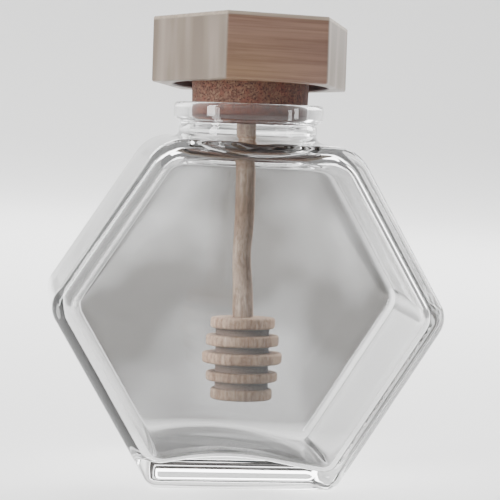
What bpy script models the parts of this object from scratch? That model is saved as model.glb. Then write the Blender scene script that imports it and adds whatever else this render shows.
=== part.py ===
"""Six-sided glass honey pot with a cork stopper under a wooden cap, and a dipper that hangs from the cork.

Metres, +Z up. The jar stands on the plane z = 0 with its flat front facing -Y, and the origin is the middle
of its underside. The cap, the cork and the dipper lean back a little together, as loosely pushed in.
"""

import math

import bmesh
import bpy
from mathutils import Matrix, Vector

MM = 0.001
GAP = 0.3 * MM
CUTTER_MARGIN = 2 * MM
SHARP_EDGE = math.radians(35)
UP = Vector((0, 1))
OUT = Vector((1, 0))

# Glass body, a flat slab whose outline is a hexagon standing on one side
BODY_DEPTH = 55 * MM
TOP_Z = 100.8 * MM
SIDE_CORNER_Z = 51.8 * MM
SIDE_CORNER_X = 58.6 * MM
TOP_CORNER_X = 28.1 * MM
BASE_CORNER_X = 27.3 * MM
SIDE_RADIUS = 7.5 * MM
TOP_RADIUS = 12.0 * MM
BASE_RADIUS = 4.8 * MM
RIM_EDGE_RADIUS = 4.5 * MM
CORNER_STEPS = 7
EDGE_STEPS = 4

# Hollow of the body
WALL = 3.2 * MM
FLOOR_Z = 4.2 * MM
HOLLOW_SIDE_RADIUS = 7.0 * MM
HOLLOW_TOP_RADIUS = 10.0 * MM
HOLLOW_BASE_RADIUS = 6.0 * MM
HOLLOW_EDGE_RADIUS = 5.0 * MM
DOME_TOP = Vector((-5.5 * MM, 0, 10.6 * MM))
DOME_HALF_SIZE = Vector((60.0 * MM, 90.0 * MM, 47.0 * MM))
DOME_STEPS = 36

# Neck and mouth, turned round an axis that leans a little from the middle of the shoulder
NECK_LEAN_LEFT = math.radians(1.2)
NECK_SHIFT_LEFT = 0.3 * MM
NECK_RADIUS = 20.3 * MM
NECK_RING_RADIUS = 20.7 * MM
NECK_RING_Z = 104.0 * MM
NECK_RING_HALF_HEIGHT = 1.3 * MM
NECK_FILLET = 2.4 * MM
BEAD_RADIUS = 22.4 * MM
BEAD_BASE_Z = 106.5 * MM
MOUTH_Z = 111.8 * MM
BEAD_ROUNDING = 1.3 * MM
BORE_RADIUS = 18.0 * MM
LIP_ROUNDING = 0.8 * MM
BORE_FLARE = 2.2 * MM
TURN_STEPS = 48
ARC_STEPS = 4

# The axis that cap, cork and dipper are built about, from its zero in the middle of the cap's underside
STOPPER_PLACE = Vector((-0.3 * MM, 0.45 * MM, 116.7 * MM))
STOPPER_LEAN_BACK = math.radians(3.56)
STOPPER_LEAN_LEFT = math.radians(0.67)
STOPPER_TURN = math.radians(7.4)

# Wooden cap, a hexagonal block with a round recess below
CAP_CORNER_RADIUS = 30.35 * MM
CAP_HEIGHT = 19.2 * MM
CAP_CHAMFER = 0.6 * MM
RECESS_RADIUS = 23.2 * MM
RECESS_DEPTH = 11.0 * MM

# Cork, a tapered plug with a blind hole for the handle
CORK_TOP_RADIUS = 17.8 * MM
CORK_BASE_RADIUS = 17.25 * MM
CORK_TOP_Z = RECESS_DEPTH - GAP
CORK_BASE_Z = -9.3 * MM
CORK_ROUNDING = 0.5 * MM
HANDLE_HOLE_TOP_Z = 5.0 * MM
HANDLE_HOLE_STEPS = 24

# Dipper: a thin handle, bent and waisted two thirds of the way down, over a head of five rings
DIPPER_SHIFT_LEFT = 0.5 * MM
DIPPER_LEAN_BACK = math.radians(1.1)
HANDLE_RADIUS = 2.95 * MM
HANDLE_WAIST = 0.27 * MM
HANDLE_FOOT_SPREAD = 0.2 * MM
HANDLE_TOP_Z = HANDLE_HOLE_TOP_Z - GAP
HEAD_TOP_Z = -68.9 * MM
HEAD_CORE_RADIUS = 8.0 * MM
HEAD_CROWN = 0.2 * MM
RING_ROUNDING = 0.7 * MM
RING_RADII = [9.6 * MM, 10.9 * MM, 11.95 * MM, 10.75 * MM, 9.2 * MM]
RING_HEIGHTS = [3.25 * MM, 3.25 * MM, 3.3 * MM, 2.8 * MM, 3.35 * MM]
GROOVE_HEIGHTS = [1.95 * MM, 1.95 * MM, 2.5 * MM, 2.15 * MM]
HANDLE_POINTS = 14
HANDLE_SWAY = 0.42 * MM
HANDLE_BEND = 0.55 * MM
BEND_SHARE = 0.75
BEND_SPREAD = 0.1
DIPPER_STEPS = 28


def clear_scene():
    """Removes every object of the scene that the script starts in."""
    for thing in list(bpy.data.objects):
        bpy.data.objects.remove(thing)


def new_collection(name, parent):
    collection = bpy.data.collections.new(name)
    parent.children.link(collection)
    return collection


def new_object(name, mesh, collection, material=None):
    thing = bpy.data.objects.new(name, mesh)
    collection.objects.link(thing)
    if material:
        mesh.materials.append(material)
    return thing


def make_material(name, colour, roughness, transmission=0.0):
    material = bpy.data.materials.new(name)
    material.use_nodes = True
    shader = material.node_tree.nodes["Principled BSDF"]
    shader.inputs["Base Color"].default_value = (*colour, 1.0)
    shader.inputs["Roughness"].default_value = roughness
    shader.inputs["Metallic"].default_value = 0.0
    shader.inputs["Transmission Weight"].default_value = transmission
    shader.inputs["IOR"].default_value = 1.5
    return material


def shade_smooth(mesh):
    """Smooth shading that stays crisp at the real edges."""
    mesh.shade_smooth()
    mesh.set_sharp_from_angle(angle=SHARP_EDGE)


def arc_points(centre, start, end, steps):
    """Points from start to end along the arc round centre."""
    spoke = start - centre
    turn = spoke.angle_signed(end - centre)
    return [centre + Matrix.Rotation(-turn * step / steps, 2) @ spoke for step in range(steps + 1)]


def quarter_arc(centre, radius, start, end, steps=ARC_STEPS):
    """An arc of a turned profile, between two directions from its centre."""
    return arc_points(centre, centre + start * radius, centre + end * radius, steps)


def rounded_outline(corners, radii, steps):
    """A closed convex outline whose corners are arcs of the given radii."""
    points = []
    for index, corner in enumerate(corners):
        back = (corners[index - 1] - corner).normalized()
        ahead = (corners[(index + 1) % len(corners)] - corner).normalized()
        half_angle = back.angle(ahead) / 2
        reach = radii[index] / math.tan(half_angle)
        centre = corner + (back + ahead).normalized() * radii[index] / math.sin(half_angle)
        points += arc_points(centre, corner + back * reach, corner + ahead * reach, steps)
    return points


def inset_corners(corners, insets):
    """The corners of the outline whose sides lie inside the given one, each by its own inset."""
    lines = []
    for index, corner in enumerate(corners):
        along = (corners[(index + 1) % len(corners)] - corner).normalized()
        inward = Vector((-along.y, along.x))
        lines.append((corner + inward * insets[index], along))
    moved = []
    for (point, along), (other, other_along) in zip(lines[-1:] + lines[:-1], lines):
        distance = (other - point).cross(other_along) / along.cross(other_along)
        moved.append(point + along * distance)
    return moved


def slab_mesh(name, outline, depth):
    """A plate of the outline (x, z), standing upright, with its middle at y = 0."""
    shape = bmesh.new()
    front = shape.faces.new([shape.verts.new((p.x, -depth / 2, p.y)) for p in outline])
    pushed = bmesh.ops.extrude_face_region(shape, geom=[front])
    moved = [item for item in pushed["geom"] if isinstance(item, bmesh.types.BMVert)]
    bmesh.ops.translate(shape, verts=moved, vec=(0, depth, 0))
    bmesh.ops.recalc_face_normals(shape, faces=shape.faces)
    mesh = bpy.data.meshes.new(name)
    shape.to_mesh(mesh)
    shape.free()
    return mesh


def add_bevel(thing, width, steps):
    bevel = thing.modifiers.new("edge rounding", "BEVEL")
    bevel.width = width
    bevel.segments = steps
    bevel.limit_method = "ANGLE"
    bevel.angle_limit = math.radians(50)


def add_boolean(thing, operation, other):
    boolean = thing.modifiers.new(operation.lower() + " " + other.name, "BOOLEAN")
    boolean.operation = operation
    boolean.solver = "EXACT"
    boolean.object = other


def turned_object(name, profile, steps, collection, material=None):
    """A solid turned round Z from a profile (radius, z) that runs down its outer side."""
    mesh = bpy.data.meshes.new(name)
    edges = [(index, index + 1) for index in range(len(profile) - 1)]
    mesh.from_pydata([(p.x, 0, p.y) for p in profile], edges, [])
    thing = new_object(name, mesh, collection, material)
    screw = thing.modifiers.new("turning", "SCREW")
    screw.axis = "Z"
    screw.steps = steps
    screw.render_steps = steps
    screw.use_merge_vertices = True
    screw.merge_threshold = 0.00001
    screw.use_smooth_shade = True
    return thing


def make_helper(thing):
    thing.hide_render = True
    thing.display_type = "WIRE"


def body_corners():
    """The hexagon's sharp corners (x, z), anticlockwise from the left one of the base."""
    return [
        Vector((-BASE_CORNER_X, 0)),
        Vector((BASE_CORNER_X, 0)),
        Vector((SIDE_CORNER_X, SIDE_CORNER_Z)),
        Vector((TOP_CORNER_X, TOP_Z)),
        Vector((-TOP_CORNER_X, TOP_Z)),
        Vector((-SIDE_CORNER_X, SIDE_CORNER_Z)),
    ]


def body_radii(base, side, top):
    return [base, base, side, top, top, side]


def neck_profile():
    """Outer side of the mouth's bead, the neck and its fillet, from the axis down to inside the body."""
    bead_x = BEAD_RADIUS - BEAD_ROUNDING
    fillet_x = NECK_RADIUS + NECK_FILLET
    foot_z = TOP_Z - WALL / 2
    profile = [Vector((0, MOUTH_Z))]
    profile += quarter_arc(Vector((bead_x, MOUTH_Z - BEAD_ROUNDING)), BEAD_ROUNDING, UP, OUT)
    profile += quarter_arc(Vector((bead_x, BEAD_BASE_Z + BEAD_ROUNDING)), BEAD_ROUNDING, OUT, -UP)
    profile.append(Vector((NECK_RADIUS, BEAD_BASE_Z)))
    for share in (1, 0.5, 0, -0.5):
        swell = (NECK_RING_RADIUS - NECK_RADIUS) * (1 - share * share)
        profile.append(Vector((NECK_RADIUS + swell, NECK_RING_Z + share * NECK_RING_HALF_HEIGHT)))
    profile += quarter_arc(Vector((fillet_x, TOP_Z - GAP + NECK_FILLET)), NECK_FILLET, -OUT, -UP)
    profile += [Vector((fillet_x, foot_z)), Vector((0, foot_z))]
    return profile


def bore_profile():
    """The mouth's hole, with a rounded lip above and a flare where it opens into the hollow."""
    lip_x = BORE_RADIUS + LIP_ROUNDING
    flare_x = BORE_RADIUS + BORE_FLARE
    top_z = MOUTH_Z + CUTTER_MARGIN
    ceiling_z = TOP_Z - WALL
    foot_z = ceiling_z - CUTTER_MARGIN
    profile = [Vector((0, top_z)), Vector((lip_x, top_z))]
    profile += quarter_arc(Vector((lip_x, MOUTH_Z - LIP_ROUNDING)), LIP_ROUNDING, UP, -OUT)
    profile += quarter_arc(Vector((flare_x, ceiling_z + BORE_FLARE)), BORE_FLARE, -OUT, -UP)
    profile += [Vector((flare_x, foot_z)), Vector((0, foot_z))]
    return profile


def neck_lean():
    """Leans the neck to the left about the middle of the shoulder, and sets it a little to the left."""
    pivot = Vector((0, 0, TOP_Z))
    lean = Matrix.Rotation(-NECK_LEAN_LEFT, 4, "Y")
    return Matrix.Translation(pivot - Vector((NECK_SHIFT_LEFT, 0, 0))) @ lean @ Matrix.Translation(-pivot)


def make_dome(helpers):
    """The arch of glass that the floor rises to, a little left of the middle."""
    shape = bmesh.new()
    bmesh.ops.create_uvsphere(shape, u_segments=DOME_STEPS, v_segments=DOME_STEPS, radius=1.0)
    bmesh.ops.scale(shape, verts=shape.verts, vec=DOME_HALF_SIZE)
    bmesh.ops.translate(shape, verts=shape.verts, vec=DOME_TOP - Vector((0, 0, DOME_HALF_SIZE.z)))
    mesh = bpy.data.meshes.new("dome")
    shape.to_mesh(mesh)
    shape.free()
    return new_object("dome", mesh, helpers)


def make_hollow(helpers):
    """The cutter for the body's hollow: the body's outline moved in by the wall and the thick floor."""
    insets = [FLOOR_Z, WALL, WALL, WALL, WALL, WALL]
    corners = inset_corners(body_corners(), insets)
    radii = body_radii(HOLLOW_BASE_RADIUS, HOLLOW_SIDE_RADIUS, HOLLOW_TOP_RADIUS)
    outline = rounded_outline(corners, radii, CORNER_STEPS)
    hollow = new_object("hollow", slab_mesh("hollow", outline, BODY_DEPTH - 2 * WALL), helpers)
    add_bevel(hollow, HOLLOW_EDGE_RADIUS, EDGE_STEPS)
    add_boolean(hollow, "DIFFERENCE", make_dome(helpers))
    return hollow


def make_jar(parts, helpers):
    glass = make_material("clear_glass", (0.93, 0.94, 0.94), 0.02, transmission=1.0)
    radii = body_radii(BASE_RADIUS, SIDE_RADIUS, TOP_RADIUS)
    outline = rounded_outline(body_corners(), radii, CORNER_STEPS)
    jar = new_object("jar", slab_mesh("jar", outline, BODY_DEPTH), parts, glass)
    add_bevel(jar, RIM_EDGE_RADIUS, EDGE_STEPS)
    neck = turned_object("neck", neck_profile(), TURN_STEPS, helpers)
    bore = turned_object("bore", bore_profile(), TURN_STEPS, helpers)
    for turned in (neck, bore):
        turned.matrix_world = neck_lean()
    add_boolean(jar, "UNION", neck)
    add_boolean(jar, "DIFFERENCE", make_hollow(helpers))
    add_boolean(jar, "DIFFERENCE", bore)
    shade_smooth(jar.data)
    return jar


def prism_mesh(name, sides, radius, low_z, high_z):
    """An upright prism with its first corner on +X."""
    shape = bmesh.new()
    middle = Matrix.Translation((0, 0, (low_z + high_z) / 2)) @ Matrix.Rotation(math.radians(90), 4, "Z")
    bmesh.ops.create_cone(
        shape,
        cap_ends=True,
        segments=sides,
        radius1=radius,
        radius2=radius,
        depth=high_z - low_z,
        matrix=middle,
    )
    mesh = bpy.data.meshes.new(name)
    shape.to_mesh(mesh)
    shape.free()
    return mesh


def make_cap(parts, helpers, stopper):
    wood = make_material("pale_wood", (0.45, 0.33, 0.25), 0.6)
    cap = new_object("lid", prism_mesh("lid", 6, CAP_CORNER_RADIUS, 0, CAP_HEIGHT), parts, wood)
    cap.parent = stopper
    add_bevel(cap, CAP_CHAMFER, 1)
    recess_mesh = prism_mesh("recess", TURN_STEPS, RECESS_RADIUS, -CUTTER_MARGIN, RECESS_DEPTH)
    recess = new_object("recess", recess_mesh, helpers)
    recess.parent = stopper
    add_boolean(cap, "DIFFERENCE", recess)
    return cap


def make_cork(parts, helpers, stopper):
    bark = make_material("cork_bark", (0.30, 0.17, 0.12), 0.85)
    low = Vector((CORK_BASE_RADIUS, CORK_BASE_Z))
    profile = [Vector((0, CORK_TOP_Z)), Vector((CORK_TOP_RADIUS, CORK_TOP_Z))]
    profile += [low + Vector((0, CORK_ROUNDING)), low - Vector((CORK_ROUNDING, 0)), Vector((0, CORK_BASE_Z))]
    cork = turned_object("cork", profile, TURN_STEPS, parts, bark)
    cork.parent = stopper
    hole_radius = HANDLE_RADIUS + 2 * GAP
    foot_z = CORK_BASE_Z - CUTTER_MARGIN
    hole_mesh = prism_mesh("handle_hole", HANDLE_HOLE_STEPS, hole_radius, foot_z, HANDLE_HOLE_TOP_Z)
    hole = new_object("handle_hole", hole_mesh, helpers)
    hole.parent = stopper
    hole.location.x = -HANDLE_SWAY - DIPPER_SHIFT_LEFT
    add_boolean(cork, "DIFFERENCE", hole)
    return cork


def handle_bend(share):
    """0 along most of the handle and 1 where it bends most, by the share of its length."""
    return math.exp(-(((share - BEND_SHARE) / BEND_SPREAD) ** 2))


def handle_profile():
    """The handle's outer side, waisted at its bend and widest just above the head."""
    length = HANDLE_TOP_Z - HEAD_TOP_Z
    profile = [Vector((0, HANDLE_TOP_Z)), Vector((HANDLE_RADIUS, HANDLE_TOP_Z))]
    for index in range(1, HANDLE_POINTS + 1):
        share = index / HANDLE_POINTS
        radius = HANDLE_RADIUS - HANDLE_WAIST * handle_bend(share) + HANDLE_FOOT_SPREAD * share**6
        profile.append(Vector((radius, HANDLE_TOP_Z - length * share)))
    return profile


def ring_profile(top_z, radius, height):
    """One ring of the head, from the core out round its two soft edges and back."""
    edge_x = radius - RING_ROUNDING
    upper = quarter_arc(Vector((edge_x, top_z - RING_ROUNDING)), RING_ROUNDING, UP, OUT, 2)
    lower = quarter_arc(Vector((edge_x, top_z - height + RING_ROUNDING)), RING_ROUNDING, OUT, -UP, 2)
    return upper + lower


def dipper_profile():
    profile = handle_profile()
    z = HEAD_TOP_Z
    for index, (radius, height) in enumerate(zip(RING_RADII, RING_HEIGHTS)):
        if index:
            z -= GROOVE_HEIGHTS[index - 1]
            profile.append(Vector((HEAD_CORE_RADIUS, z)))
        profile += ring_profile(z, radius, height)
        z -= height
        if index < len(GROOVE_HEIGHTS):
            profile.append(Vector((HEAD_CORE_RADIUS, z)))
    profile.append(Vector((0, z - HEAD_CROWN)))
    return profile


def handle_sway(share):
    """How far the stick strays to -X at this share of its length, dying out just above the head."""
    return HANDLE_SWAY * (1 - share**8) + HANDLE_BEND * handle_bend(share)


def make_dipper(parts, stopper):
    """One turned piece, its stick not quite straight."""
    wood = make_material("beech", (0.52, 0.43, 0.37), 0.65)
    turned = turned_object("dipper_turned", dipper_profile(), DIPPER_STEPS, parts)
    bpy.context.view_layer.update()
    mesh = bpy.data.meshes.new_from_object(turned.evaluated_get(bpy.context.evaluated_depsgraph_get()))
    bpy.data.objects.remove(turned)
    length = HANDLE_TOP_Z - HEAD_TOP_Z
    for vertex in mesh.vertices:
        share = min(1, (HANDLE_TOP_Z - vertex.co.z) / length)
        vertex.co.x -= handle_sway(share) + DIPPER_SHIFT_LEFT
    mesh.transform(Matrix.Rotation(-DIPPER_LEAN_BACK, 4, "X"))
    mesh.name = "dipper"
    dipper = new_object("dipper", mesh, parts, wood)
    dipper.parent = stopper
    return dipper


def make_stopper_axis(parts):
    """The empty that leans cap, cork and dipper together."""
    stopper = bpy.data.objects.new("stopper_axis", None)
    parts.objects.link(stopper)
    stopper.rotation_mode = "ZYX"
    stopper.location = STOPPER_PLACE
    stopper.rotation_euler = (-STOPPER_LEAN_BACK, -STOPPER_LEAN_LEFT, STOPPER_TURN)
    return stopper


def main():
    clear_scene()
    parts = new_collection("honey_pot", bpy.context.scene.collection)
    helpers = new_collection("cutters", bpy.context.scene.collection)
    stopper = make_stopper_axis(parts)
    make_jar(parts, helpers)
    make_cap(parts, helpers, stopper)
    make_cork(parts, helpers, stopper)
    make_dipper(parts, stopper)
    for helper in helpers.objects:
        make_helper(helper)


main()
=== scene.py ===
"""Looks of the glass honey pot: glass, wooden cap, cork and dipper, with floor, light and camera."""

import math

import bmesh
import bpy
import numpy as np
from mathutils import Matrix, Vector, noise


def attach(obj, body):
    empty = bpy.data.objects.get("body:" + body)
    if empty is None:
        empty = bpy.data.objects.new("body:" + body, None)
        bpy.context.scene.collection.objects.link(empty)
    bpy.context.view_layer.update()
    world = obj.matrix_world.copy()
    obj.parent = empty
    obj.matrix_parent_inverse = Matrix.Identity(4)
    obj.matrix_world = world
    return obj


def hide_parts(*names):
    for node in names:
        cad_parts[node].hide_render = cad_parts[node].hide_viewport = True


MM = 0.001

# Jar body, in millimetres as all shapes below: a slab whose outline is a hexagon standing on one side
HALF_DEPTH = 27.5
TOP_Z = 100.8
SIDE_CORNER = (58.6, 51.8)
TOP_CORNER_X = 28.1
BASE_CORNER_X = 27.3
BODY_RADII = {"base": 4.8, "side": 7.5, "top": 12.0}
BODY_EDGE_RADIUS = 4.5

# Hollow of the body
WALL = 3.2
FLOOR_Z = 4.2
HOLLOW_RADII = {"base": 6.0, "side": 7.0, "top": 10.0}
HOLLOW_EDGE_RADIUS = 5.0
DOME_TOP = (-5.5, 0, 10.6)
DOME_HALF_SIZE = (60.0, 90.0, 47.0)
DOME_BLEND = 4.5
RIPPLE = 0.06
FINE_RIPPLE_SHARE = 0.35

# Neck and mouth
NECK_LEAN_LEFT = math.radians(1.2)
NECK_SHIFT_LEFT = 0.3
NECK_RADIUS = 20.3
NECK_RING_RADIUS = 20.7
NECK_RING_Z = 104.0
NECK_RING_ROUNDING = 1.3
NECK_RING_FILLET = 0.8
NECK_FILLET = 3.4
BEAD_RADIUS = 22.4
BEAD_BASE_Z = 106.5
MOUTH_Z = 111.8
BEAD_ROUNDING = 1.3
BEAD_FILLET = 0.6
BORE_RADIUS = 18.0
BORE_FLARE = 3.0
LIP_BLEND = 1.6

# Ends of the plain cylinders of neck and bore, hidden in the shapes that they meet
NECK_ENDS_Z = (TOP_Z - 4, MOUTH_Z - 1)
BORE_ENDS_Z = (TOP_Z - 10, MOUTH_Z + 5)

# Mesh of the glass
VOXEL = 1.1
FINE_ABOVE_Z = 98.5
SLOPE_STEP = 0.01
FITTING_ROUNDS = 5

# Axis of the stopper, and the mesh attribute that keeps a piece's own coordinates
GRAIN_PLACE = "grain_place"
STOPPER_PLACE = (-0.3, 0.45, 116.7)
LEAN_BACK = math.radians(3.56)
LEAN_LEFT = math.radians(0.67)
STOPPER_TURN = math.radians(7.4)

# Cap
CAP_CORNER_RADIUS = 30.35
CAP_HEIGHT = 19.2
CAP_CHAMFER = 0.65
CAP_CHAMFER_STEPS = 3
CAP_CHAMFER_FULLNESS = 0.6
RECESS_RADIUS = 23.2
RECESS_DEPTH = 11.0
RECESS_TOP_CHAMFER = 0.6
RECESS_MOUTH_CHAMFER = 0.4
RECESS_STEPS = 128
CUTTER_BELOW = 2.0

# Cork
CORK_TOP_RADIUS = 17.8
CORK_BASE_RADIUS = 17.25
CORK_TOP_Z = 10.7
CORK_BASE_Z = -9.3
CORK_ROUNDING = 0.5
CORK_ROW = 0.45
CORK_STEPS = 240
CORK_GRAIN = 1.1
CORK_FINE_SHARE = 0.6
CORK_PIT = 0.16
CORK_PIT_LEVELS = (0.25, 0.75)
SMOOTH_ROUND_HOLE = 1.0
HOLE_RADIUS = 3.55
HOLE_TOP_Z = 5.0

# Dipper
DIPPER_SHIFT_LEFT = 0.5
DIPPER_LEAN_BACK = math.radians(1.1)
HANDLE_RADIUS = 2.95
HANDLE_WAIST = 0.27
HANDLE_FOOT_SPREAD = 0.2
HANDLE_TOP_Z = 4.7
HANDLE_SWAY = 0.42
HANDLE_BEND = 0.55
BEND_SHARE = 0.75
BEND_SPREAD = 0.1
HANDLE_ROWS = 60
HEAD_TOP_Z = -68.9
HEAD_CORE_RADIUS = 8.0
HEAD_CROWN = 0.2
RING_ROUNDING = 0.8
RING_RADII = (9.6, 10.9, 11.95, 10.75, 9.2)
RING_HEIGHTS = (3.25, 3.25, 3.3, 2.8, 3.35)
GROOVE_HEIGHTS = (1.95, 1.95, 2.5, 2.15)
HEAD_FOOT_Z = HEAD_TOP_Z - sum(RING_HEIGHTS) - sum(GROOVE_HEIGHTS)
DIPPER_STEPS = 96
DIPPER_ROW = 0.9
UNEVEN_SHARE = 0.012
UNEVEN_SIZE = 6.0
UNEVEN_SQUEEZE = 1.6

# Light in the glass: what has met more than this many surfaces goes straight on, at the trapped strength
MOST_GLASS_BOUNCES = 4
TRAPPED_LIGHT = 0.5
SHADOW_LIGHT = 0.97

# Painted grey of the wide panes, a painted shade of the dark surroundings seen through them, with the depths
# behind their plane at which it begins and is full
PANE_DEPTHS = (1.5, 0.1)
FRONT_PANE_PAINTED_GREY = 0.58
EDGE_TINT = 0.99
CLOUDS_PER_METRE = 24.0

# Clear foot of the panes, free of their painted grey, with the heights at which it ends, higher in front than
# at the back
CLEAR_FOOT = (9.0, 14.0)
CLEAR_FOOT_SLOPE = 0.16

# Depth of the fine relief of wood and cork
RELIEF = 0.2

# Camera, fitted to the photograph's outline of the jar
CAMERA_PLACE = (-71.0, -445.3, 110.8)
CAMERA_YAW = math.radians(-9.336)
CAMERA_PITCH = math.radians(5.458)
CAMERA_ROLL = math.radians(3.152)
CAMERA_LENS = 107.85

# Stage, whose paper lies a hair below the jar so that the two don't share a plane
PAPER_RADIUS = 1100.0
PAPER_BELOW_JAR = 0.1
PAPER_STEPS = 96
COVE_RADIUS = 1200.0
COVE_WALL = 600.0
COVE_STEPS = 24
ROOM_GREY = 0.38


def mixed(low, high, share):
    return low + (high - low) * share


def smooth_share(low, high, value):
    """0 below low, 1 above high, and an even S between."""
    share = np.clip((value - low) / (high - low), 0, 1)
    return share * share * (3 - 2 * share)


def new_object(name, data):
    thing = bpy.data.objects.new(name, data)
    bpy.context.scene.collection.objects.link(thing)
    return thing


def dress(mesh, material):
    mesh.materials.clear()
    mesh.materials.append(material)


def stopper_place():
    """The frame of cap, cork and dipper, its zero in the middle of the cap's underside."""
    lean = Matrix.Rotation(-LEAN_BACK, 4, "X") @ Matrix.Rotation(-LEAN_LEFT, 4, "Y")
    return Matrix.Translation(Vector(STOPPER_PLACE) * MM) @ lean @ Matrix.Rotation(STOPPER_TURN, 4, "Z")


def keep_place(mesh):
    """Keeps the mesh's coordinates as they are now, for its material."""
    spots = np.empty(len(mesh.vertices) * 3, np.float32)
    mesh.vertices.foreach_get("co", spots)
    kept = mesh.attributes.new(GRAIN_PLACE, "FLOAT_VECTOR", "POINT")
    kept.data.foreach_set("vector", spots)


def lean_piece(name, mesh, material):
    """A piece of the stopper, moved from the stopper's frame to its place."""
    mesh.transform(stopper_place())
    dress(mesh, material)
    return new_object(name, mesh)


def evaluated_mesh(thing):
    """The mesh that an object's modifiers make, with the object removed."""
    bpy.context.view_layer.update()
    mesh = bpy.data.meshes.new_from_object(thing.evaluated_get(bpy.context.evaluated_depsgraph_get()))
    bpy.data.objects.remove(thing)
    return mesh


def finish_shading(mesh, sharp_above=35):
    """Smooth faces, with edges kept sharp where they turn by more than this angle in degrees."""
    mesh.shade_smooth()
    mesh.set_sharp_from_angle(angle=math.radians(sharp_above))


# Distance rules of the glass


def hexagon(inset_side, inset_base):
    """The body's sharp outline moved inwards, anticlockwise from the left corner of the base."""
    half = [(-BASE_CORNER_X, 0), (BASE_CORNER_X, 0), SIDE_CORNER, (TOP_CORNER_X, TOP_Z)]
    corners = np.array(half + [(-TOP_CORNER_X, TOP_Z), (-SIDE_CORNER[0], SIDE_CORNER[1])], float)
    along = np.roll(corners, -1, axis=0) - corners
    along /= np.linalg.norm(along, axis=1)[:, None]
    insets = np.array([inset_base] + [inset_side] * 5)
    starts = corners + np.stack([-along[:, 1], along[:, 0]], axis=-1) * insets[:, None]
    moved = []
    for index in range(len(corners)):
        sides = np.stack([along[index - 1], -along[index]], axis=-1)
        share = np.linalg.solve(sides, starts[index] - starts[index - 1])
        moved.append(starts[index - 1] + along[index - 1] * share[0])
    return np.array(moved)


def outline_distance(points, corners, radii):
    """Distance of (x, z) to a convex outline whose corners are arcs, negative inside."""
    ahead = np.roll(corners, -1, axis=0) - corners
    ahead /= np.linalg.norm(ahead, axis=1)[:, None]
    outward = np.stack([ahead[:, 1], -ahead[:, 0]], axis=-1)
    distance = np.max([(points - corner) @ side for corner, side in zip(corners, outward)], axis=0)
    for index, radius in enumerate(radii):
        middle = ahead[index] - ahead[index - 1]
        half_angle = math.acos(np.dot(ahead[index], -ahead[index - 1])) / 2
        centre = corners[index] + middle / np.linalg.norm(middle) * radius / math.sin(half_angle)
        offset = points - centre
        at_corner = (offset @ ahead[index] < 0) & (offset @ ahead[index - 1] > 0)
        distance = np.where(at_corner, np.linalg.norm(offset, axis=1) - radius, distance)
    return distance


def rounded_pair(first, second, rounding):
    """Distance to the solid inside both, with their shared edge rounded."""
    first = first + rounding
    second = second + rounding
    outside = np.hypot(np.maximum(first, 0), np.maximum(second, 0))
    return np.minimum(np.maximum(first, second), 0) + outside - rounding


def slab_distance(points, corners, radii, half_depth, edge_radius):
    """Distance to a slab with this outline, whose wide faces meet its sides in a rounded edge."""
    named = [radii[key] for key in ("base", "base", "side", "top", "top", "side")]
    across = outline_distance(points[:, [0, 2]], corners, named)
    return rounded_pair(across, np.abs(points[:, 1]) - half_depth, edge_radius)


def disc_distance(points, radius, low, high, rounding):
    """Distance to an upright cylinder from low to high, with rounded rims."""
    across = np.hypot(points[:, 0], points[:, 1]) - radius
    return rounded_pair(across, np.abs(points[:, 2] - (low + high) / 2) - (high - low) / 2, rounding)


def joined(first, second, blend):
    """Union of two distances with a fillet."""
    share = np.maximum(blend - np.abs(first - second), 0) / blend
    return np.minimum(first, second) - share * share * blend / 4


def without(first, second, blend):
    """The first solid less the second, with its new edges rounded."""
    return -joined(-first, second, blend)


def leaned(points):
    """The points as the neck has them, whose axis leans to the left from the middle of the shoulder."""
    offset = points + (NECK_SHIFT_LEFT, 0, -TOP_Z)
    x = offset[:, 0] * math.cos(NECK_LEAN_LEFT) + offset[:, 2] * math.sin(NECK_LEAN_LEFT)
    z = offset[:, 2] * math.cos(NECK_LEAN_LEFT) - offset[:, 0] * math.sin(NECK_LEAN_LEFT)
    return np.stack([x, offset[:, 1], z + TOP_Z], axis=-1)


def outside_distance(points):
    body = slab_distance(points, hexagon(0, 0), BODY_RADII, HALF_DEPTH, BODY_EDGE_RADIUS)
    points = leaned(points)
    neck = disc_distance(points, NECK_RADIUS, *NECK_ENDS_Z, 0)
    ring_x = np.hypot(points[:, 0], points[:, 1]) - NECK_RING_RADIUS + NECK_RING_ROUNDING
    ring = np.hypot(ring_x, points[:, 2] - NECK_RING_Z) - NECK_RING_ROUNDING
    bead = disc_distance(points, BEAD_RADIUS, BEAD_BASE_Z, MOUTH_Z, BEAD_ROUNDING)
    top = joined(joined(neck, ring, NECK_RING_FILLET), bead, BEAD_FILLET)
    return joined(body, top, NECK_FILLET)


def ripple(points):
    """The slight unevenness of a blown inside: long waves and finer ones, their lengths in millimetres."""
    x, y, z = points.T
    wide = np.sin(x / 13 + 0.6 * np.sin(z / 17 + 1)) * np.sin(z / 15 + 0.4 + y / 30)
    fine = np.sin(x / 6.1 + z / 8.3 + 2) * np.sin(z / 7.2 - y / 12)
    return RIPPLE * (wide + FINE_RIPPLE_SHARE * fine)


def hollow_distance(points):
    body = slab_distance(points, hexagon(WALL, FLOOR_Z), HOLLOW_RADII, HALF_DEPTH - WALL, HOLLOW_EDGE_RADIUS)
    scaled = (points - DOME_TOP + (0, 0, DOME_HALF_SIZE[2])) / DOME_HALF_SIZE
    dome = (np.linalg.norm(scaled, axis=1) - 1) * DOME_HALF_SIZE[2]
    bore = disc_distance(leaned(points), BORE_RADIUS, *BORE_ENDS_Z, 0)
    return joined(without(body, dome, DOME_BLEND) + ripple(points), bore, BORE_FLARE)


def glass_distance(points):
    return without(outside_distance(points), hollow_distance(points), LIP_BLEND)


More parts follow.
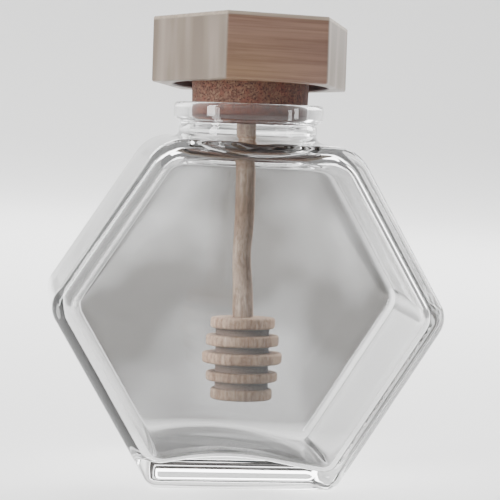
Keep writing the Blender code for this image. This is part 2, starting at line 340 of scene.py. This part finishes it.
def slope(distance, points):
    """Unit direction in which the distance grows, and the distance itself."""
    steps = np.eye(3) * SLOPE_STEP
    rise = np.stack([distance(points + step) - distance(points - step) for step in steps], axis=-1)
    size = np.linalg.norm(rise, axis=1)[:, None]
    return rise / size, distance(points) * 2 * SLOPE_STEP / size[:, 0]


def even_quads(solid):
    """The solid's surface in quads of one size, and of half that size round the neck."""
    source = new_object("jar_source", solid.data.copy())
    remesh = source.modifiers.new("even quads", "REMESH")
    remesh.mode = "VOXEL"
    remesh.voxel_size = VOXEL * MM
    mesh = evaluated_mesh(source)
    shape = bmesh.new()
    shape.from_mesh(mesh)
    fine = [edge for edge in shape.edges if min(v.co.z for v in edge.verts) > FINE_ABOVE_Z * MM]
    bmesh.ops.subdivide_edges(shape, edges=fine, cuts=1, use_grid_fill=True)
    shape.to_mesh(mesh)
    shape.free()
    return mesh


def make_jar(solid, material):
    """Even quads from the solid jar, moved onto the smooth surface of the glass."""
    mesh = even_quads(solid)
    points = np.empty(len(mesh.vertices) * 3)
    mesh.vertices.foreach_get("co", points)
    points = points.reshape(-1, 3) / MM
    for _ in range(FITTING_ROUNDS):
        normals, away = slope(glass_distance, points)
        points = points - normals * away[:, None]
    mesh.vertices.foreach_set("co", (points * MM).ravel())
    mesh.update()
    mesh.shade_smooth()
    normals, _ = slope(glass_distance, points)
    mesh.normals_split_custom_set_from_vertices(normals.tolist())
    dress(mesh, material)
    return new_object("glass_jar", mesh)


# Turned pieces


def turned_mesh(name, profile, steps):
    """A mesh turned round Z from a profile (radius, z) in millimetres that starts on the axis.

    Its faces look out where the profile runs down, and up where it runs outwards.
    """
    shape = bmesh.new()
    rows = []
    for radius, z in profile:
        if radius == 0:
            rows.append([shape.verts.new((0, 0, z * MM))])
            continue
        turns = [2 * math.pi * step / steps for step in range(steps)]
        spots = [(radius * MM * math.cos(turn), radius * MM * math.sin(turn), z * MM) for turn in turns]
        rows.append([shape.verts.new(spot) for spot in spots])
    for upper, lower in zip(rows, rows[1:]):
        for step in range(steps):
            after = (step + 1) % steps
            if len(upper) == 1:
                shape.faces.new((upper[0], lower[step], lower[after]))
            elif len(lower) == 1:
                shape.faces.new((upper[step], lower[0], upper[after]))
            else:
                shape.faces.new((upper[step], lower[step], lower[after], upper[after]))
    mesh = bpy.data.meshes.new(name)
    shape.to_mesh(mesh)
    shape.free()
    return mesh


def filled(profile, longest):
    """The same profile with points added so that no stretch is over the longest."""
    points = [profile[0]]
    for start, end in zip(profile, profile[1:]):
        pieces = max(1, math.ceil(math.dist(start, end) / longest))
        for piece in range(1, pieces + 1):
            points.append(tuple(mixed(s, e, piece / pieces) for s, e in zip(start, end)))
    return points


def quarter(centre, radius, start, steps=5):
    """A quarter circle, clockwise from its start angle in degrees."""
    turns = [math.radians(start - 90 * step / steps) for step in range(steps + 1)]
    return [(centre[0] + radius * math.cos(turn), centre[1] + radius * math.sin(turn)) for turn in turns]


def handle_bend(share):
    """0 along most of the handle and 1 where it bends most, by the share of its length."""
    return math.exp(-(((share - BEND_SHARE) / BEND_SPREAD) ** 2))


def handle_sway(share):
    """How far the stick strays to the left at this share of its length."""
    return HANDLE_SWAY * (1 - share**8) + HANDLE_BEND * handle_bend(share)


def dipper_profile():
    length = HANDLE_TOP_Z - HEAD_TOP_Z
    profile = [(0, HANDLE_TOP_Z)]
    for row in range(HANDLE_ROWS + 1):
        share = row / HANDLE_ROWS
        radius = HANDLE_RADIUS - HANDLE_WAIST * handle_bend(share) + HANDLE_FOOT_SPREAD * share**6
        profile.append((radius, HANDLE_TOP_Z - length * share))
    z = HEAD_TOP_Z
    for index, (radius, height) in enumerate(zip(RING_RADII, RING_HEIGHTS)):
        edge = radius - RING_ROUNDING
        profile += quarter((edge, z - RING_ROUNDING), RING_ROUNDING, 90)
        profile += quarter((edge, z - height + RING_ROUNDING), RING_ROUNDING, 0)
        z -= height
        if index < len(GROOVE_HEIGHTS):
            profile += [(HEAD_CORE_RADIUS, z), (HEAD_CORE_RADIUS, z - GROOVE_HEIGHTS[index])]
            z -= GROOVE_HEIGHTS[index]
    profile.append((0, z - HEAD_CROWN))
    return filled(profile, DIPPER_ROW)


def make_dipper(material):
    """The turned dipper, with its stick swaying and its roundness a little uneven."""
    mesh = turned_mesh("dipper_wood", dipper_profile(), DIPPER_STEPS)
    keep_place(mesh)
    length = (HANDLE_TOP_Z - HEAD_TOP_Z) * MM
    for vertex in mesh.vertices:
        share = min(1, (HANDLE_TOP_Z * MM - vertex.co.z) / length)
        vertex.co.x -= (handle_sway(share) + DIPPER_SHIFT_LEFT) * MM
        spot = Vector((vertex.co.x, vertex.co.y, vertex.co.z * UNEVEN_SQUEEZE))
        uneven = 1 + UNEVEN_SHARE * noise.noise(spot / (UNEVEN_SIZE * MM))
        vertex.co.x *= uneven
        vertex.co.y *= uneven
    mesh.transform(Matrix.Rotation(-DIPPER_LEAN_BACK, 4, "X"))
    finish_shading(mesh, sharp_above=50)
    return lean_piece("wooden_dipper", mesh, material)


def cork_profile():
    flat_radius = CORK_BASE_RADIUS - CORK_ROUNDING
    profile = [(0, CORK_TOP_Z), (CORK_TOP_RADIUS, CORK_TOP_Z)]
    profile += [(CORK_BASE_RADIUS, CORK_BASE_Z + CORK_ROUNDING), (flat_radius, CORK_BASE_Z)]
    profile += [(HOLE_RADIUS, CORK_BASE_Z), (HOLE_RADIUS, HOLE_TOP_Z), (0, HOLE_TOP_Z)]
    return filled(profile, CORK_ROW)


def pit_share(spot):
    """0 on the cork's skin and up to 1 in a pit."""
    coarse = noise.noise(spot / (CORK_GRAIN * MM))
    fine = noise.noise(spot / (CORK_GRAIN / 2 * MM))
    return float(smooth_share(*CORK_PIT_LEVELS, coarse + CORK_FINE_SHARE * fine))


def make_cork(material):
    """The cork with its pits, and with its hole moved to where the dipper's stick is."""
    mesh = turned_mesh("cork_plug", cork_profile(), CORK_STEPS)
    keep_place(mesh)
    off_centre = (HANDLE_SWAY + DIPPER_SHIFT_LEFT) * MM
    for vertex in mesh.vertices:
        away = math.hypot(vertex.co.x, vertex.co.y) / MM
        if away > HOLE_RADIUS + SMOOTH_ROUND_HOLE:
            pit = pit_share(vertex.co)
            vertex.co.x *= 1 - pit * CORK_PIT / away
            vertex.co.y *= 1 - pit * CORK_PIT / away
        vertex.co.x -= off_centre * (1 - float(smooth_share(HOLE_RADIUS, CORK_BASE_RADIUS, away)))
    finish_shading(mesh, sharp_above=60)
    return lean_piece("cork_plug", mesh, material)


def cap_block():
    """A hexagonal block on the plane of zero height, with flat faces to the front and back."""
    shape = bmesh.new()
    middle = Matrix.Translation((0, 0, CAP_HEIGHT / 2 * MM)) @ Matrix.Rotation(math.radians(90), 4, "Z")
    radius = CAP_CORNER_RADIUS * MM
    bmesh.ops.create_cone(
        shape, cap_ends=True, segments=6, radius1=radius, radius2=radius, depth=CAP_HEIGHT * MM, matrix=middle
    )
    bmesh.ops.bevel(
        shape,
        geom=shape.edges[:],
        offset=CAP_CHAMFER * MM,
        segments=CAP_CHAMFER_STEPS,
        affect="EDGES",
        profile=CAP_CHAMFER_FULLNESS,
    )
    mesh = bpy.data.meshes.new("cap_block")
    shape.to_mesh(mesh)
    shape.free()
    return new_object("cap_block", mesh)


def recess_cutter():
    """The round recess of the cap as a body, which reaches a little below the cap."""
    top_radius = RECESS_RADIUS - RECESS_TOP_CHAMFER
    mouth_radius = RECESS_RADIUS + RECESS_MOUTH_CHAMFER
    profile = [(0, RECESS_DEPTH), (top_radius, RECESS_DEPTH)]
    profile += [(RECESS_RADIUS, RECESS_DEPTH - RECESS_TOP_CHAMFER), (RECESS_RADIUS, RECESS_MOUTH_CHAMFER)]
    profile += [(mouth_radius, 0), (mouth_radius, -CUTTER_BELOW), (0, -CUTTER_BELOW)]
    return new_object("recess_cutter", turned_mesh("recess_cutter", profile, RECESS_STEPS))


def make_cap(material):
    block = cap_block()
    cutter = recess_cutter()
    cut = block.modifiers.new("recess", "BOOLEAN")
    cut.operation = "DIFFERENCE"
    cut.object = cutter
    mesh = evaluated_mesh(block)
    bpy.data.objects.remove(cutter)
    finish_shading(mesh)
    keep_place(mesh)
    return lean_piece("wooden_cap", mesh, material)


# Materials


def grey(value):
    return (value, value, value)


class Nodes:
    """Short calls for building a material's node tree."""

    def __init__(self, name):
        self.material = bpy.data.materials.new(name)
        self.material.use_nodes = True
        self.tree = self.material.node_tree
        self.shader = self.tree.nodes["Principled BSDF"]
        self.output = self.tree.nodes["Material Output"]

    def add(self, kind, links=None, **settings):
        node = self.tree.nodes.new(kind)
        for key, value in settings.items():
            setattr(node, key, value)
        for socket, source in (links or {}).items():
            self.put(node, socket, source)
        return node

    def put(self, node, socket, source):
        """Links the source to the socket, or sets it there where it is a plain value."""
        if isinstance(source, bpy.types.NodeSocket):
            self.tree.links.new(source, node.inputs[socket])
        else:
            node.inputs[socket].default_value = source

    def ramp(self, value, stops):
        node = self.add("ShaderNodeValToRGB", {"Fac": value})
        elements = node.color_ramp.elements
        while len(elements) < len(stops):
            elements.new(0.5)
        for element, (position, colour) in zip(elements, stops):
            element.position = position
            element.color = (*colour, 1)
        return node.outputs["Color"]

    def mix(self, share, low, high, blend="MIX"):
        node = self.add("ShaderNodeMix", data_type="RGBA", blend_type=blend)
        sockets = {s.identifier: s for s in node.inputs}
        for key, source in (("Factor_Float", share), ("A_Color", low), ("B_Color", high)):
            if isinstance(source, bpy.types.NodeSocket):
                self.tree.links.new(source, sockets[key])
            elif key == "Factor_Float":
                sockets[key].default_value = source
            else:
                sockets[key].default_value = (*source, 1)
        return next(s for s in node.outputs if s.identifier == "Result_Color")

    def tinted(self, colour, tint):
        return self.mix(1.0, colour, tint, "MULTIPLY")

    def result(self, operation, *values, clamped=False):
        node = self.add("ShaderNodeMath", dict(enumerate(values)), operation=operation, use_clamp=clamped)
        return node.outputs[0]

    def product(self, first, second):
        return self.result("MULTIPLY", first, second)

    def largest(self, first, second):
        return self.result("MAXIMUM", first, second)

    def rise(self, value, low, high, kind="LINEAR"):
        """0 to 1 as the value goes from low to high."""
        links = {"Value": value, "From Min": low, "From Max": high}
        return self.add("ShaderNodeMapRange", links, interpolation_type=kind).outputs["Result"]

    def place(self):
        """The piece's own coordinates in metres, from before it leaned."""
        return self.add("ShaderNodeAttribute", attribute_name=GRAIN_PLACE).outputs["Vector"]

    def stretched(self, scale):
        return self.add("ShaderNodeMapping", {"Vector": self.place(), "Scale": scale}).outputs["Vector"]

    def along(self, axis, low, high):
        """0 to 1 as the piece's own coordinate on this axis goes from low to high, in millimetres."""
        value = self.add("ShaderNodeSeparateXYZ", {"Vector": self.place()}).outputs[axis]
        return self.rise(value, low * MM, high * MM)

    def around(self, outer, inner):
        """0 to 1 as the distance from the piece's own Z axis goes from outer to inner, in millimetres."""
        flat = self.add("ShaderNodeVectorMath", {0: self.place(), 1: (1, 1, 0)}, operation="MULTIPLY")
        away = self.add("ShaderNodeVectorMath", {0: flat.outputs[0]}, operation="LENGTH").outputs["Value"]
        return self.rise(away, outer * MM, inner * MM)

    def noise(self, scale=1.0, stretch=(1, 1, 1), detail=3.0, roughness=0.55, distortion=0.0):
        links = {
            "Vector": self.stretched(stretch),
            "Scale": scale,
            "Detail": detail,
            "Roughness": roughness,
            "Distortion": distortion,
        }
        return self.add("ShaderNodeTexNoise", links).outputs["Fac"]

    def bump(self, height, strength):
        links = {"Height": height, "Strength": strength, "Distance": RELIEF * MM}
        self.put(self.shader, "Normal", self.add("ShaderNodeBump", links).outputs["Normal"])


def pane_share(made, across, height):
    """1 on the two wide panes, where their painted grey goes, and 0 on the slanted sides, round the edges and
    at the foot.
    """
    begin, full = [(HALF_DEPTH - depth) * MM for depth in PANE_DEPTHS]
    flat = made.rise(made.result("ABSOLUTE", across), begin, full, "SMOOTHSTEP")
    sloped = made.result("MULTIPLY_ADD", across, CLEAR_FOOT_SLOPE, height)
    low, high = [edge * MM for edge in CLEAR_FOOT]
    return made.product(flat, made.rise(sloped, low, high))


def back_pane_painted_shade(made, place, height):
    """Painted shade of the dark surroundings seen through the back pane, in soft dark clouds, with painted
    light making it paler towards the shoulder.
    """
    links = {"Vector": place, "Scale": CLOUDS_PER_METRE, "Detail": 2.0, "Roughness": 0.5}
    clouds = made.add("ShaderNodeTexNoise", links).outputs["Fac"]
    tones = [(0.38, (0.025, 0.023, 0.021)), (0.5, (0.09, 0.088, 0.086)), (0.62, grey(0.22))]
    level = made.rise(height, 0.0, TOP_Z * MM)
    paler_painted_light = made.ramp(level, [(0.15, grey(0.7)), (0.5, grey(0.7)), (0.9, grey(1.9))])
    return made.tinted(made.ramp(clouds, tones), paler_painted_light)


def let_light_out(made):
    """Lets shadow rays through, and light that is trapped between the glass's surfaces."""
    path = made.add("ShaderNodeLightPath").outputs
    trapped = made.result("GREATER_THAN", path["Ray Depth"], MOST_GLASS_BOUNCES)
    strength = made.mix(trapped, grey(SHADOW_LIGHT), grey(TRAPPED_LIGHT))
    clear = made.add("ShaderNodeBsdfTransparent", {"Color": strength}).outputs["BSDF"]
    let_out = made.largest(path["Is Shadow Ray"], trapped)
    mix = made.add("ShaderNodeMixShader", {0: let_out, 1: made.shader.outputs["BSDF"], 2: clear})
    made.put(made.output, "Surface", mix.outputs["Shader"])


def glass_material():
    """Clear glass, with its wide panes greyed by painted shade of the surroundings seen through them: the
    front one evenly, the back one in clouds.
    """
    made = Nodes("clear_glass")
    place = made.add("ShaderNodeTexCoord").outputs["Object"]
    parts = made.add("ShaderNodeSeparateXYZ", {"Vector": place}).outputs
    across, height = parts["Y"], parts["Z"]
    at_back = made.result("GREATER_THAN", across, 0.0)
    # Painted shade: the panes' grey stands in for the dark surroundings seen through the glass
    tint = made.mix(at_back, grey(FRONT_PANE_PAINTED_GREY), back_pane_painted_shade(made, place, height))
    made.put(made.shader, "Base Color", made.mix(pane_share(made, across, height), grey(EDGE_TINT), tint))
    made.put(made.shader, "Roughness", 0.0)
    made.put(made.shader, "IOR", 1.5)
    made.put(made.shader, "Transmission Weight", 1.0)
    let_light_out(made)
    return made.material


def warm_sides(made, streaks):
    """Layers of reddish wood with fine streaks, with painted light making them yellower at the lower left."""
    layers = made.noise(stretch=(12, 150, 230), detail=4, roughness=0.6, distortion=0.25)
    reds = [(0.3, (0.14, 0.074, 0.052)), (0.5, (0.165, 0.092, 0.065)), (0.7, (0.2, 0.117, 0.083))]
    red = made.ramp(layers, reds)
    # Painted light: yellower towards the lower left of the cap's front and back
    lower_left_painted_light = made.product(made.along("Z", 15, 2), made.along("X", 12, -8))
    yellow_painted_light = made.mix(lower_left_painted_light, red, (0.21, 0.125, 0.06))
    shades = [(0.38, (0.8, 0.77, 0.75)), (0.52, (1, 1, 1)), (0.68, (1.15, 1.14, 1.12))]
    return made.tinted(made.mix(0.55, red, yellow_painted_light), made.ramp(streaks, shades))


def pale_sides(made):
    """Upright bands of pale wood, for the cap's slanted sides."""
    bands = made.noise(stretch=(260, 10, 14), detail=2, roughness=0.5)
    tones = [(0.4, (0.14, 0.107, 0.079)), (0.5, (0.18, 0.14, 0.107)), (0.62, (0.24, 0.197, 0.16))]
    return made.ramp(bands, tones)


def cap_material():
    """Grain along the cap's own X: warm front and back, pale other sides, a painted highlight along the top
    edge and over the top, and painted shade in the recess.
    """
    made = Nodes("cap_wood")
    streaks = made.noise(stretch=(30, 900, 1300), detail=4, roughness=0.6)
    # Each change of tone below is soft over about half a millimetre
    half_side = CAP_CORNER_RADIUS / 2
    left = made.along("X", 0.5 - half_side, -half_side)
    right = made.along("X", half_side - 0.5, half_side)
    colour = made.mix(made.largest(left, right), warm_sides(made, streaks), pale_sides(made))
    # Painted highlight: pale along the cap's top edge and over its top
    top_tones = [(0.3, (0.24, 0.19, 0.145)), (0.5, (0.32, 0.262, 0.205)), (0.7, (0.38, 0.32, 0.255))]
    top_painted_highlight = made.along("Z", CAP_HEIGHT - 1.3, CAP_HEIGHT - 0.9)
    colour = made.mix(top_painted_highlight, colour, made.ramp(streaks, top_tones))
    # Painted shade: dark reddish brown inside the round recess
    in_round = made.around(RECESS_RADIUS + 0.6, RECESS_RADIUS + 0.1)
    recess_painted_shade = made.product(in_round, made.along("Z", RECESS_DEPTH + 1, RECESS_DEPTH + 0.5))
    made.put(made.shader, "Base Color", made.mix(recess_painted_shade, colour, (0.07, 0.022, 0.014)))
    made.put(made.shader, "Roughness", 0.5)
    made.bump(streaks, 0.3)
    return made.material


def cork_material():
    """Pressed grains of brown tones with dark pores, and painted shade making them darker to the right and
    low in the neck.
    """
    made = Nodes("cork_bark")
    grains = made.add("ShaderNodeTexVoronoi", {"Vector": made.stretched((1, 1, 1)), "Scale": 1500.0})
    tones = [(0.15, (0.065, 0.03, 0.022)), (0.5, (0.15, 0.08, 0.053)), (0.85, (0.26, 0.155, 0.098))]
    colour = made.ramp(grains.outputs["Color"], tones)
    colour = made.mix(made.noise(240.0, detail=2), colour, (0.17, 0.083, 0.055))
    redder = made.ramp(made.noise(500.0, detail=2), [(0.45, grey(1)), (0.62, (1.1, 0.86, 0.85))])
    colour = made.tinted(colour, redder)
    pores = made.ramp(made.noise(2100.0, detail=2), [(0.38, grey(1)), (0.46, grey(0))])
    colour = made.mix(pores, colour, (0.05, 0.02, 0.016))
    # Painted shade: darker towards the cork's right
    colour = made.tinted(colour, made.mix(made.along("X", -8, 17), grey(1), (0.42, 0.33, 0.36)))
    # Painted shade: darker low in the neck
    colour = made.tinted(colour, made.mix(made.along("Z", -5.4, -6.2), grey(1), (0.52, 0.32, 0.25)))
    made.put(made.shader, "Base Color", colour)
    made.put(made.shader, "Roughness", 0.85)
    made.bump(made.noise(1700.0, detail=3), 0.6)
    return made.material


def bare_dipper(made, grain, patches):
    """Pale wood with fine grain along the stick, brown patches and dark specks."""
    tones = [(0.3, (0.29, 0.19, 0.13)), (0.5, (0.44, 0.336, 0.264)), (0.68, (0.57, 0.468, 0.39))]
    browner = made.ramp(patches, [(0.4, grey(1.0)), (0.65, (0.8, 0.7, 0.62))])
    colour = made.tinted(made.ramp(grain, tones), browner)
    specks = made.noise(stretch=(1100, 1100, 500), detail=2, roughness=0.6)
    return made.tinted(colour, made.ramp(specks, [(0.38, (0.72, 0.68, 0.64)), (0.55, grey(1.08))]))


def handle_painted_shading(made, patches):
    """Painted shade, brown on the stick's right with an uneven limit and darker higher up its left, and a
    painted highlight as a pale rim at the very right.
    """
    left = made.mix(made.along("Z", HEAD_TOP_Z, HEAD_TOP_Z / 2), (0.82, 0.81, 0.79), (0.52, 0.51, 0.49))
    stray = made.result("MULTIPLY_ADD", patches, 2.0, -1.0)
    to_right = made.result("ADD", made.along("X", -2, 2), stray, clamped=True)
    painted_shading = made.mix(to_right, left, (0.2, 0.135, 0.09))
    # Painted highlight: a pale rim at the stick's very right
    return made.mix(made.along("X", 2.0, 2.5), painted_shading, (0.55, 0.48, 0.42))


def head_painted_shading(made):
    """Painted light pale at the head's left and painted shade browner towards its right, and browner towards
    its foot.
    """
    across = made.mix(made.along("X", -11, -4), (1.25, 1.26, 1.27), (0.66, 0.59, 0.51))
    lower = made.mix(made.along("Z", HEAD_TOP_Z, HEAD_FOOT_Z), grey(1.1), (0.72, 0.7, 0.66))
    return made.tinted(across, lower)


def groove_edges():
    """Heights of the lower and upper edge of each groove, from the lowest groove up."""
    edges = []
    z = HEAD_TOP_Z
    for ring_height, groove_height in zip(RING_HEIGHTS, GROOVE_HEIGHTS):
        upper = z - ring_height
        z = upper - groove_height
        edges.insert(0, (z, upper))
    return edges


def groove_share(made):
    """1 on the head's core in its grooves, fading along the rings, and 0 at the head's top and foot."""
    core = made.around(HEAD_CORE_RADIUS + 1.2, HEAD_CORE_RADIUS)
    first_groove_z = HEAD_TOP_Z - RING_HEIGHTS[0]
    below_top = made.along("Z", first_groove_z + 0.1, first_groove_z)
    above_foot = made.along("Z", HEAD_FOOT_Z + 0.3, HEAD_FOOT_Z + 0.6)
    return made.product(core, made.product(below_top, above_foot))


def groove_painted_shade(made):
    """Painted shade in the grooves, almost black under each ring and paler below and to the left."""
    stops = []
    for lower, upper in groove_edges():
        for edge, value in ((lower, 0), (upper, 1)):
            stops.append(((edge - HEAD_FOOT_Z) / (HEAD_TOP_Z - HEAD_FOOT_Z), grey(value)))
    # Painted shadow: darkest just under each ring
    shadow_under_ring = made.ramp(made.along("Z", HEAD_FOOT_Z, HEAD_TOP_Z), stops)
    dark = made.mix(made.along("X", -8, 2), (0.05, 0.028, 0.02), (0.003, 0.002, 0.002))
    pale = made.mix(made.along("X", -5, 7), (0.2, 0.135, 0.1), (0.02, 0.01, 0.007))
    return made.mix(shadow_under_ring, pale, dark)


def dipper_material():
    """Fine grain along the stick, with painted shade browner on its right, and painted shade darkening the
    grooves in the head.
    """
    made = Nodes("dipper_wood")
    grain = made.noise(stretch=(750, 750, 70), detail=4, roughness=0.62)
    patches = made.noise(stretch=(120, 120, 40), detail=3, roughness=0.6)
    on_handle = made.along("Z", HEAD_TOP_Z, HEAD_TOP_Z + 0.5)
    # Painted light and shade of stick and head, paler at the left and browner to the right
    painted_shading = made.mix(on_handle, head_painted_shading(made), handle_painted_shading(made, patches))
    colour = made.tinted(bare_dipper(made, grain, patches), painted_shading)
    made.put(made.shader, "Base Color", made.mix(groove_share(made), colour, groove_painted_shade(made)))
    made.put(made.shader, "Roughness", 0.7)
    made.put(made.shader, "Specular IOR Level", 0.2)
    made.bump(grain, 0.35)
    return made.material


# Stage


def make_stage():
    """A round sheet of paper that curves up into a low wall all round."""
    profile = [(0, 0)]
    for step in range(COVE_STEPS + 1):
        turn = math.radians(90 * step / COVE_STEPS)
        profile.append((PAPER_RADIUS + COVE_RADIUS * math.sin(turn), COVE_RADIUS * (1 - math.cos(turn))))
    profile.append((PAPER_RADIUS + COVE_RADIUS, COVE_RADIUS + COVE_WALL))
    mesh = turned_mesh("floor", profile, PAPER_STEPS)
    mesh.shade_smooth()
    made = Nodes("floor_paper")
    made.put(made.shader, "Base Color", (0.88, 0.88, 0.875, 1))
    made.put(made.shader, "Roughness", 0.7)
    dress(mesh, made.material)
    floor = new_object("floor", mesh)
    floor.location.z = -PAPER_BELOW_JAR * MM


def make_lamp(name, place, aim, size, power, spread=180):
    """A soft rectangular lamp, its place and size in metres and its spread in degrees."""
    data = bpy.data.lights.new(name, "AREA")
    data.shape = "RECTANGLE"
    data.size, data.size_y = size
    data.energy = power
    data.spread = math.radians(spread)
    lamp = new_object(name, data)
    lamp.location = place
    lamp.rotation_euler = (Vector(aim) - Vector(place)).to_track_quat("-Z", "Y").to_euler()


def make_light():
    """A pale room with soft windows at the sides, and lamps for the paper and the wall behind the jar."""
    world = bpy.data.worlds.new("studio")
    bpy.context.scene.world = world
    world.use_nodes = True
    background = world.node_tree.nodes["Background"]
    background.inputs["Color"].default_value = (*grey(ROOM_GREY), 1)
    background.inputs["Strength"].default_value = 1.0
    jar = (0, 0, 0.07)
    make_lamp("left_window", place=(-0.83, -0.34, 0.31), aim=jar, size=(0.22, 0.6), power=10)
    make_lamp("right_window", place=(0.83, -0.34, 0.2), aim=jar, size=(0.12, 0.38), power=1.8)
    make_lamp("right_back_window", place=(0.75, 0.45, 0.5), aim=jar, size=(0.3, 0.6), power=8)
    make_lamp("overhead", place=(0, 0.6, 0.95), aim=(0, 0.5, 0), size=(0.9, 0.5), power=11, spread=150)
    make_lamp("back", place=(0, 1.25, 0.85), aim=(0, 0.35, 0), size=(1.6, 0.5), power=10, spread=110)
    make_lamp("backdrop", place=(0, 1.15, 1.1), aim=(0, 1.75, 0.2), size=(1.6, 0.4), power=16)


def make_camera():
    data = bpy.data.cameras.new("camera")
    data.lens = CAMERA_LENS
    data.sensor_width = 36
    data.clip_start = 0.01
    data.clip_end = 20
    camera = new_object("camera", data)
    yaw, pitch, roll = CAMERA_YAW, CAMERA_PITCH, CAMERA_ROLL
    back = Vector((math.sin(yaw) * math.cos(pitch), -math.cos(yaw) * math.cos(pitch), math.sin(pitch)))
    right = Vector((math.cos(yaw), math.sin(yaw), 0))
    up = back.cross(right)
    turned_right = right * math.cos(roll) + up * math.sin(roll)
    turned_up = up * math.cos(roll) - right * math.sin(roll)
    facing = Matrix((turned_right, turned_up, back)).transposed().to_4x4()
    camera.matrix_world = Matrix.Translation(Vector(CAMERA_PLACE) * MM) @ facing
    bpy.context.scene.camera = camera


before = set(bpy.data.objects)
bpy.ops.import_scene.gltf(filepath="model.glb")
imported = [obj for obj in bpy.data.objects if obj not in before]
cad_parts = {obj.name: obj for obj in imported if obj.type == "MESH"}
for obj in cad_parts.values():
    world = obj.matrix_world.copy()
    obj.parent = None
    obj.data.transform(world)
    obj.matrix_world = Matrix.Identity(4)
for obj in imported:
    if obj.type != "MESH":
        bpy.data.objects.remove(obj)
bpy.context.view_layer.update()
make_camera()
make_stage()
make_light()
pieces = {
    "jar": (make_jar(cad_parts["jar"], glass_material()), "clear_glass"),
    "lid": (make_cap(cap_material()), "cap_wood"),
    "cork": (make_cork(cork_material()), "cork_bark"),
    "dipper": (make_dipper(dipper_material()), "dipper_wood"),
}
for node, (piece, slot) in pieces.items():
    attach(piece, "root")
    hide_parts(node)
